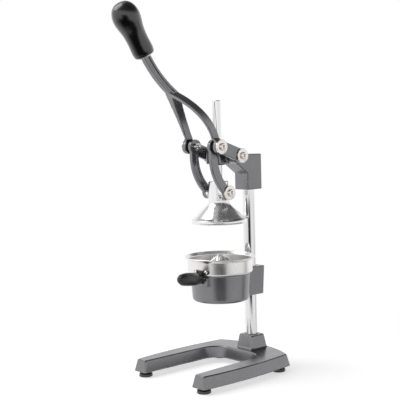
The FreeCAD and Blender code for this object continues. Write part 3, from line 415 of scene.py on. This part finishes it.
def turned_material(name, color, low, high, strength, rings, axis_y):
    """Bright metal with turning rings round an upright axis and faint smudges."""
    material, tree, shader = blank_material(name, color, 1.0)
    group = node(tree, "ShaderNodeGroup", node_tree=shared_group("turning_rings", turning_group))
    for label, value in (("Centre Y", axis_y), ("Rings", rings), ("Strength", strength),
                         ("Low", low), ("High", high)):
        group.inputs[label].default_value = value
    wire(tree, group, "Roughness", shader, "Roughness")
    wire(tree, group, "Normal", shader, "Normal")
    return material


def material_for(finish):
    """The material of a finish, made once."""
    found = bpy.data.materials.get(finish)
    return found or FINISHES[finish]()


def metals():
    return bpy.context.scene.press_metals


def grips():
    return bpy.context.scene.press_grips


def grey_enamel():
    cast = bpy.context.scene.press_castings
    return skinned_material("grey_enamel", cast.color, cast.roughness - 0.04, cast.roughness + 0.05,
                            cast.peel, 900.0, 30.0, shade=0.74, metallic=cast.metallic, speckle=0.55)


def chrome_plate():
    return turned_material("chrome_plate", metals().chrome, 0.05, 0.10, 0.02, 1200.0, COLUMN.y)


def polished_bell():
    return turned_material("polished_bell", metals().aluminium, 0.19, 0.28, 0.10, 1800.0, PLUNGER.y)


def spun_stainless():
    return turned_material("spun_stainless", metals().stainless, 0.22, 0.30, 0.10, 1400.0, PLUNGER.y)


def bright_nickel():
    return turned_material("bright_nickel", metals().nickel, 0.16, 0.28, 0.05, 900.0, PLUNGER.y)


def blackened_steel():
    return turned_material("blackened_steel", (0.05, 0.05, 0.052), 0.35, 0.5, 0.08, 900.0, COLUMN.y)


def turned_bronze():
    return turned_material("turned_bronze", (0.16, 0.11, 0.06), 0.3, 0.42, 0.1, 1500.0, PLUNGER.y)


def moulded_rubber():
    gloss = grips().grip_roughness
    return skinned_material("moulded_rubber", grips().rubber, gloss - 0.05,
                            gloss + 0.05, 0.12, 1600.0, 60.0, coat=0.8, shine=0.7)


def black_plastic():
    return skinned_material("black_plastic", grips().plastic, 0.16, 0.26, 0.03, 500.0, 40.0,
                            shine=0.06)


def black_enamel():
    return skinned_material("black_enamel", (0.012, 0.012, 0.013), 0.3, 0.42, 0.08, 1100.0, 60.0)


FINISHES = {maker.__name__: maker for maker in (
    grey_enamel, chrome_plate, polished_bell, spun_stainless, bright_nickel, blackened_steel,
    turned_bronze, moulded_rubber, black_plastic, black_enamel)}


# Pieces

def casting(name, source, body, voxel, passes):
    piece = finished(name, merged_copy(source), body, material_for("grey_enamel"), source)
    cast_skin(piece, voxel, passes)
    return piece


class PRESS_OT_castings(bpy.types.Operator):
    """Skin the base, head, holder, lever and links as enamelled castings"""
    bl_idname = "press.castings"
    bl_label = "Castings"

    def execute(self, context):
        cast = context.scene.press_castings
        casting("cast_base", "base_casting", "frame", cast.base_voxel, cast.softness)
        casting("cast_head", "head_casting", "frame", cast.fine_voxel, cast.softness)
        casting("cast_holder", "cup_holder", "frame", cast.fine_voxel, cast.softness)
        casting("cast_lever", "lever_casting", "lever", cast.fine_voxel, cast.softness)
        for side in ("right", "left"):
            casting(f"curved_{side}_link", f"{side}_link", "links", cast.fine_voxel * 0.75, cast.softness)
        return {"FINISHED"}


def chromed_bar(name, node_name, body):
    """A turned bar with chamfered ends where the CAD node stands."""
    low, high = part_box(node_name)
    radius = (high[0] - low[0]) / 2 / MM
    bottom, top = low[2] / MM, high[2] / MM
    profile = softened([(0, bottom, 0), (radius - 1, bottom, 0.3), (radius, bottom + 1, 0.5),
                        (radius, top - 1, 0.5), (radius - 1, top, 0.4), (0, top, 0)])
    bm = lathed(profile, metals().segments)
    middle = centre_of(node_name)
    placed(bm, Vector((middle.x, middle.y, 0)))
    return finished(name, bm, body, material_for("chrome_plate"), node_name)


class PRESS_OT_bars(bpy.types.Operator):
    """Turn the chrome column and plunger rod"""
    bl_idname = "press.bars"
    bl_label = "Column and Rod"

    def execute(self, context):
        chromed_bar("chrome_column", "column", "frame")
        chromed_bar("chrome_rod", "plunger_rod", "plunger")
        return {"FINISHED"}


def rolled_bowl(bead, corner):
    """Spun bowl with a rolled rim, a rounded foot to its wall, a funnel and a spout."""
    rim_r, rim_height = 57.2, 194.5 - bead
    wall, neck, spout, sheet = 54.0, 44.6, 13.0, 1.4
    seat, mouth = 167.2, 125.5
    outer = softened([(spout - sheet, mouth, 0), (spout, mouth, 0.5), (spout, 137, 4), (neck, 150, 5),
                      (neck, seat, 1.2), (wall, seat, corner), (wall, 189.5, 4),
                      (rim_r - bead * 0.5, 193.2, 0)])
    turns = [math.radians(-120 + 260 * index / 12) for index in range(13)]
    roll = [((rim_r + bead * math.cos(turn)) * MM, (rim_height + bead * math.sin(turn)) * MM)
            for turn in turns]
    inner = softened([(rim_r - bead * 1.1, 193.4, 0), (wall - sheet, 189.8, 4),
                      (wall - sheet, seat + sheet, corner - sheet), (neck - sheet, seat + sheet, 1.2),
                      (neck - sheet, 151, 5), (spout - sheet, 137.6, 4), (spout - sheet, mouth, 0)])
    return outer[:-1] + roll + inner[:-1]


class PRESS_OT_bowl(bpy.types.Operator):
    """Spin the stainless juice bowl"""
    bl_idname = "press.bowl"
    bl_label = "Juice Bowl"

    def execute(self, context):
        profile = rolled_bowl(metals().rim_bead / MM, metals().bowl_corner / MM)
        bm = placed(lathed(profile, metals().segments), Vector((PLUNGER.x, PLUNGER.y, 0)))
        finished("spun_bowl", bm, "bowl", material_for("spun_stainless"), "juice_bowl")
        return {"FINISHED"}


HARDWARE = (
    ("head_pivot_washers", "frame", "nickel", "bright_nickel"),
    ("head_pivot_screws", "frame", "nickel", "bright_nickel"),
    ("crank_washers", "lever", "nickel", "bright_nickel"),
    ("crank_bolts", "lever", "nickel", "bright_nickel"),
    ("crank_nuts", "lever", "nickel", "bright_nickel"),
    ("crank_spacers", "lever", "dark_steel", "blackened_steel"),
    ("link_foot_washers", "links", "nickel", "bright_nickel"),
    ("link_foot_screws", "links", "nickel", "bright_nickel"),
    ("foot_screws", "frame", "nickel", "bright_nickel"),
    ("column_bolt", "frame", "dark_steel", "blackened_steel"),
    ("head_set_screws", "frame", "dark_steel", "blackened_steel"),
    ("holder_set_screw", "frame", "dark_steel", "blackened_steel"),
    ("rod_lock_screw", "plunger", "dark_steel", "blackened_steel"),
    ("rod_guide_bush", "frame", "bronze", "turned_bronze"),
    ("handle_screw", "bowl", "stainless", "bright_nickel"),
    ("strap_rivets", "bowl", "stainless", "bright_nickel"),
    ("rubber_feet", "frame", "black_rubber", "moulded_rubber"),
    ("pressing_bell", "plunger", "polished_aluminium", "polished_bell"),
    ("strainer", "strainer", "stainless", "spun_stainless"),
    ("reamer", "reamer", "polished_aluminium", "polished_bell"),
    ("handle_strap", "bowl", "black_enamel", "black_enamel"),
)


class PRESS_OT_hardware(bpy.types.Operator):
    """Finish the washers, screws, nuts, spacers and other small pieces"""
    bl_idname = "press.hardware"
    bl_label = "Hardware"

    def execute(self, context):
        for source, body, slot, finish in HARDWARE:
            finished(f"finished_{source}", merged_copy(source), body, material_for(finish), source)
        return {"FINISHED"}


# Directions and places of the grip and the knob, in radians and metres

GRIP_LEAN = math.radians(58.8)
GRIP_UP = Vector((0, -math.cos(GRIP_LEAN), math.sin(GRIP_LEAN)))
KNOB_TURN = math.radians(-78)
KNOB_TILT = math.radians(7.5)
KNOB_HINGE_R = 0.0564
KNOB_HINGE_HEIGHT = 0.1635
KNOB_GAP = 0.002
KNOB_CREASE = math.radians(20)
COLLAR_HALF = 0.0025


def smooth_curve(stops, steps=6):
    """Points in metres on a smooth curve through (radius, height) stops in millimetres."""
    points = [Vector(stop) for stop in stops]
    ends = [points[0] * 2 - points[1]] + points + [points[-1] * 2 - points[-2]]
    curve = []
    for a, b, c, d in zip(ends, ends[1:], ends[2:], ends[3:]):
        for step in range(steps):
            t = step / steps
            curve.append(0.5 * (2 * b + (c - a) * t + (2 * a - 5 * b + 4 * c - d) * t ** 2
                                + (3 * b - a - 3 * c + d) * t ** 3))
    curve.append(points[-1])
    return [(point.x * MM, point.y * MM) for point in curve]


class PRESS_OT_grips(bpy.types.Operator):
    """Mould the black hand grip with its collar, and the bowl's knob"""
    bl_idname = "press.grips"
    bl_label = "Grips"

    def execute(self, context):
        segments = metals().segments
        foot = centre_of("grip_collar") - GRIP_UP * COLLAR_HALF
        ring = lathed(softened([(5.1, 0.3, 0), (15.0, 0.3, 0.5), (15.4, 0.8, 0.3), (15.4, 2.0, 0.3),
                                (5.1, 2.0, 0)]), segments)
        placed(ring, foot, GRIP_UP)
        finished("nickel_collar", ring, "lever", material_for("bright_nickel"), "grip_collar")
        end = softened([(0, 2.2, 0), (15.6, 2.2, 0.6), (16.3, 3.2, 0.5), (16.5, 4.0, 0.4)])
        side = smooth_curve([(16.4, 4.4), (17.0, 9.0), (16.8, 17.0), (16.5, 26.0), (16.8, 35.0),
                             (17.7, 43.0), (19.7, 52.0), (21.2, 60.5), (21.2, 68.5), (19.2, 76.5),
                             (14.9, 83.5), (8.4, 88.0), (0.0, 89.4)], 5)
        body = lathed(end + side, segments, closed=False)
        placed(body, foot, GRIP_UP)
        finished("hand_grip", body, "lever", material_for("moulded_rubber"), "grip")
        self.knob(segments)
        return {"FINISHED"}

    def knob(self, segments):
        root = softened([(0, 0, 0), (6.8, 0, 0.8), (7.7, 1.4, 0.6)])
        barrel = smooth_curve([(7.9, 2.0), (9.0, 7.0), (10.2, 15.0), (10.9, 26.0), (10.7, 38.0), (9.4, 46.5),
                               (6.6, 52.5), (3.2, 55.3), (0.0, 56.0)], 6)
        bm = lathed(root + barrel, segments, closed=False)
        step = math.tau / grips().knob_sides
        for vert in bm.verts:
            angle = math.atan2(vert.co.y, vert.co.x) % step - step / 2
            flat = 1 - math.cos(step / 2) / math.cos(angle)
            scale = 1 - grips().facet_depth * flat
            vert.co.x *= scale
            vert.co.y *= scale
        out = Vector((math.cos(KNOB_TURN), math.sin(KNOB_TURN), 0))
        axis = out * math.cos(KNOB_TILT) + UP * math.sin(KNOB_TILT)
        hinge = Vector((0, PLUNGER.y, KNOB_HINGE_HEIGHT)) + out * KNOB_HINGE_R
        placed(bm, hinge + axis * KNOB_GAP, axis)
        finished("barrel_knob", bm, "bowl", material_for("black_plastic"),
                 "handle_knob", KNOB_CREASE)


# Studio

def view_axes(azimuth, elevation, roll):
    """Right, up and back directions of the camera."""
    back = Vector((math.sin(azimuth) * math.cos(elevation), -math.cos(azimuth) * math.cos(elevation),
                   math.sin(elevation)))
    right = Vector((math.cos(azimuth), math.sin(azimuth), 0))
    up = back.cross(right)
    return (right * math.cos(roll) + up * math.sin(roll), up * math.cos(roll) - right * math.sin(roll), back)


def looking_rays(tree):
    """Light Path, a mask of mirrored and passed rays, and a mask of those and the camera's rays."""
    path = node(tree, "ShaderNodeLightPath")
    mirrored = node(tree, "ShaderNodeMath", operation="MAXIMUM")
    wire(tree, path, "Is Glossy Ray", mirrored, 0)
    wire(tree, path, "Is Transmission Ray", mirrored, 1)
    either = node(tree, "ShaderNodeMath", operation="MAXIMUM")
    wire(tree, path, "Is Camera Ray", either, 0)
    wire(tree, mirrored, "Value", either, 1)
    return path, mirrored, either


FLOOR_LIFT = 0.30
CAMERA_LIFT = 0.25
FADE_FROM, FADE_TO = 0.28, 0.62


def floor_white(radius):
    """Pale to the camera and in mirrors with the shadow kept, and fading out towards the rim."""
    material, tree, shader = blank_material("floor_white", (0.9, 0.9, 0.9))
    shader.inputs["Roughness"].default_value = 0.9
    out = tree.nodes["Material Output"]
    lift = node(tree, "ShaderNodeEmission")
    path, _, looks = looking_rays(tree)
    level = node(tree, "ShaderNodeMath", operation="MULTIPLY_ADD")
    level.inputs[1].default_value = CAMERA_LIFT
    level.inputs[2].default_value = FLOOR_LIFT
    wire(tree, path, "Is Camera Ray", level, 0)
    wire(tree, level, "Value", lift, "Strength")
    through = node(tree, "ShaderNodeBsdfTransparent")
    lifted = node(tree, "ShaderNodeAddShader")
    shown = node(tree, "ShaderNodeMixShader")
    rim = node(tree, "ShaderNodeMixShader")
    coords = node(tree, "ShaderNodeTexCoord")
    reach = node(tree, "ShaderNodeVectorMath", operation="LENGTH")
    fade = node(tree, "ShaderNodeMapRange", interpolation_type="SMOOTHSTEP")
    fade.inputs["From Min"].default_value = radius * FADE_FROM
    fade.inputs["From Max"].default_value = radius * FADE_TO
    wire(tree, coords, "Object", reach, 0)
    wire(tree, reach, "Value", fade, "Value")
    wire(tree, shader, "BSDF", lifted, 0)
    wire(tree, lift, "Emission", lifted, 1)
    wire(tree, looks, "Value", shown, "Fac")
    wire(tree, shader, "BSDF", shown, 1)
    wire(tree, lifted, "Shader", shown, 2)
    wire(tree, fade, "Result", rim, "Fac")
    wire(tree, shown, "Shader", rim, 1)
    wire(tree, through, "BSDF", rim, 2)
    wire(tree, rim, "Shader", out, "Surface")
    return material


KEY_PLACE = Vector((-0.9, -0.9, 1.9))
KEY_AIM = Vector((0, 0, 0.25))
KEY_SIZE = 1.6
KEY_POWER = 18


def key_lamp():
    lamp = bpy.data.lights.new("key", "AREA")
    lamp.shape = "SQUARE"
    lamp.size = KEY_SIZE
    lamp.energy = KEY_POWER
    holder = bpy.data.objects.new("key", lamp)
    bpy.context.scene.collection.objects.link(holder)
    holder.location = KEY_PLACE
    holder.rotation_euler = (KEY_PLACE - KEY_AIM).to_track_quat("Z", "Y").to_euler()


def grey_ramp(tree, turn, stops):
    """A ramp of grey levels over the azimuth, from (degrees, level) stops."""
    ramp = node(tree, "ShaderNodeValToRGB")
    wire(tree, turn, "Result", ramp, "Fac")
    elements = ramp.color_ramp.elements
    for index, (degrees, level) in enumerate(stops):
        place = (degrees + 180) / 360
        if index < 2:
            elements[index].position = place
            element = elements[index]
        else:
            element = elements.new(place)
        element.color = (level, level, level, 1)
    return ramp


def blend(tree, factor, out, first, second):
    """Mixes the outputs (node, socket name) first and second by a factor."""
    mix = node(tree, "ShaderNodeMix", data_type="RGBA")
    wire(tree, factor, out, mix, "Factor")
    tree.links.new(first[0].outputs[first[1]], mix.inputs["A"])
    tree.links.new(second[0].outputs[second[1]], mix.inputs["B"])
    return mix


def height_mask(tree, split, low, high):
    """Rises from 0 to 1 as the direction's height goes from low to high."""
    mask = node(tree, "ShaderNodeMapRange", interpolation_type="SMOOTHSTEP")
    mask.inputs["From Min"].default_value = low
    mask.inputs["From Max"].default_value = high
    wire(tree, split, "Z", mask, "Value")
    return mask


BACKDROP_STEEP = -1.6
BACKDROP_FROM, BACKDROP_TO = -0.1, 0.25


def studio_world(studio):
    """White to the camera, and in mirrors behind the press; elsewhere a pale room, dark in parts."""
    world = bpy.data.worlds.new("studio")
    bpy.context.scene.world = world
    world.use_nodes = True
    tree = world.node_tree
    tree.nodes.clear()
    coords = node(tree, "ShaderNodeTexCoord")
    split = node(tree, "ShaderNodeSeparateXYZ")
    wire(tree, coords, "Generated", split, "Vector")
    angle = node(tree, "ShaderNodeMath", operation="ARCTAN2")
    wire(tree, split, "X", angle, 0)
    front = node(tree, "ShaderNodeMath", operation="MULTIPLY")
    front.inputs[1].default_value = -1.0
    wire(tree, split, "Y", front, 0)
    wire(tree, front, "Value", angle, 1)
    turn = node(tree, "ShaderNodeMapRange")
    turn.inputs["From Min"].default_value = -math.pi
    turn.inputs["From Max"].default_value = math.pi
    wire(tree, angle, "Value", turn, "Value")
    dark = studio.dark_level
    low = grey_ramp(tree, turn, (
        (-180, 0.9), (-125, 0.9), (-50, 1.0), (-20, 0.85), (10, 0.9), (22, 0.5), (32, dark), (63, dark),
        (73, 0.75), (95, 0.9), (135, 0.85), (150, 0.3), (160, 0.85), (180, 0.9)))
    middle = grey_ramp(tree, turn, ((-180, 0.95), (-60, 1.0), (40, 1.05), (90, 0.9), (180, 0.95)))
    high = grey_ramp(tree, turn, (
        (-180, 0.14), (-150, 0.2), (-125, 0.5), (-60, 0.62), (-5, 0.35), (40, 0.16), (110, 0.08),
        (180, 0.14)))
    deep = grey_ramp(tree, turn, (
        (-180, 0.6), (-130, 0.9), (-60, 0.95), (-35, 0.5), (0, dark / 2), (110, dark / 2), (140, 0.15),
        (180, 0.6)))
    below = blend(tree, height_mask(tree, split, -0.5, -0.3), "Result", (deep, "Color"), (low, "Color"))
    above = blend(tree, height_mask(tree, split, -0.075, -0.03), "Result", (below, "Result"),
                  (middle, "Color"))
    over = blend(tree, height_mask(tree, split, 0.25, 0.55), "Result", (above, "Result"), (high, "Color"))
    path, mirrored, _ = looking_rays(tree)
    away = node(tree, "ShaderNodeVectorMath", operation="DOT_PRODUCT")
    away.inputs[1].default_value = (-math.sin(studio.azimuth), math.cos(studio.azimuth), 0)
    wire(tree, coords, "Generated", away, 0)
    steep = node(tree, "ShaderNodeMath", operation="ABSOLUTE")
    wire(tree, split, "Z", steep, 0)
    facing = node(tree, "ShaderNodeMath", operation="MULTIPLY_ADD")
    facing.inputs[1].default_value = BACKDROP_STEEP
    wire(tree, steep, "Value", facing, 0)
    wire(tree, away, "Value", facing, 2)
    behind = node(tree, "ShaderNodeMapRange", interpolation_type="SMOOTHSTEP")
    behind.inputs["From Min"].default_value = BACKDROP_FROM
    behind.inputs["From Max"].default_value = BACKDROP_TO
    wire(tree, facing, "Value", behind, "Value")
    backdrop = node(tree, "ShaderNodeMath", operation="MULTIPLY")
    wire(tree, mirrored, "Value", backdrop, 0)
    wire(tree, behind, "Result", backdrop, 1)
    whole = node(tree, "ShaderNodeMath", operation="MAXIMUM")
    wire(tree, path, "Is Camera Ray", whole, 0)
    wire(tree, backdrop, "Value", whole, 1)
    seen = node(tree, "ShaderNodeMix", data_type="RGBA")
    wire(tree, whole, "Value", seen, "Factor")
    tree.links.new(over.outputs["Result"], seen.inputs["A"])
    seen.inputs["B"].default_value = (1, 1, 1, 1)
    shade = node(tree, "ShaderNodeBackground")
    tree.links.new(seen.outputs["Result"], shade.inputs["Color"])
    out = node(tree, "ShaderNodeOutputWorld")
    wire(tree, shade, "Background", out, "Surface")


class PRESS_OT_stage(bpy.types.Operator):
    """Set up the camera, lamp, room and pale floor"""
    bl_idname = "press.stage"
    bl_label = "Studio"

    def execute(self, context):
        studio = context.scene.press_studio
        right, up, back = view_axes(studio.azimuth, studio.elevation, studio.roll)
        base_right = Vector((math.cos(studio.azimuth), math.sin(studio.azimuth), 0))
        aim = Vector((0, PLUNGER.y, studio.aim_height)) + base_right * studio.aim_side
        camera = bpy.data.objects.new("camera", bpy.data.cameras.new("camera"))
        context.scene.collection.objects.link(camera)
        camera.data.lens = studio.lens
        camera.data.sensor_width = 36.0
        turn = Matrix((right, up, back)).transposed().to_4x4()
        camera.matrix_world = Matrix.Translation(aim + back * studio.distance) @ turn
        context.scene.camera = camera
        context.scene.view_settings.view_transform = "Standard"
        studio_world(studio)
        key_lamp()
        if studio.show_floor:
            bm = bmesh.new()
            bmesh.ops.create_circle(bm, cap_ends=True, segments=96, radius=studio.floor_radius)
            mesh = bpy.data.meshes.new("floor")
            bm.to_mesh(mesh)
            bm.free()
            floor = bpy.data.objects.new("floor", mesh)
            context.scene.collection.objects.link(floor)
            mesh.materials.append(floor_white(studio.floor_radius))
        return {"FINISHED"}


class PRESS_PT_panel(bpy.types.Panel):
    """Sidebar panel with the press's settings and steps"""
    bl_idname = "PRESS_PT_panel"
    bl_label = "Citrus Press"
    bl_space_type = "VIEW_3D"
    bl_region_type = "UI"
    bl_category = "Citrus Press"

    def draw(self, context):
        for label in ("press_castings", "press_metals", "press_grips", "press_studio"):
            group = getattr(context.scene, label)
            box = self.layout.box()
            for name in type(group).__annotations__:
                box.prop(group, name)
        for operator in OPERATORS:
            self.layout.operator(operator.bl_idname)


OPERATORS = (PRESS_OT_castings, PRESS_OT_bars, PRESS_OT_bowl, PRESS_OT_hardware, PRESS_OT_grips,
             PRESS_OT_stage)
GROUPS = {
    "press_castings": CastingSettings,
    "press_metals": MetalSettings,
    "press_grips": GripSettings,
    "press_studio": StudioSettings,
}


def register():
    for kind in (*GROUPS.values(), *OPERATORS, PRESS_PT_panel):
        bpy.utils.register_class(kind)
    for label, kind in GROUPS.items():
        setattr(bpy.types.Scene, label, PointerProperty(type=kind))


def unregister():
    for label in GROUPS:
        delattr(bpy.types.Scene, label)
    for kind in (PRESS_PT_panel, *reversed(OPERATORS), *GROUPS.values()):
        bpy.utils.unregister_class(kind)


def main():
    register()
    for operator in OPERATORS:
        group, action = operator.bl_idname.split(".")
        getattr(getattr(bpy.ops, group), action)()


if __name__ == "__main__":
    main()
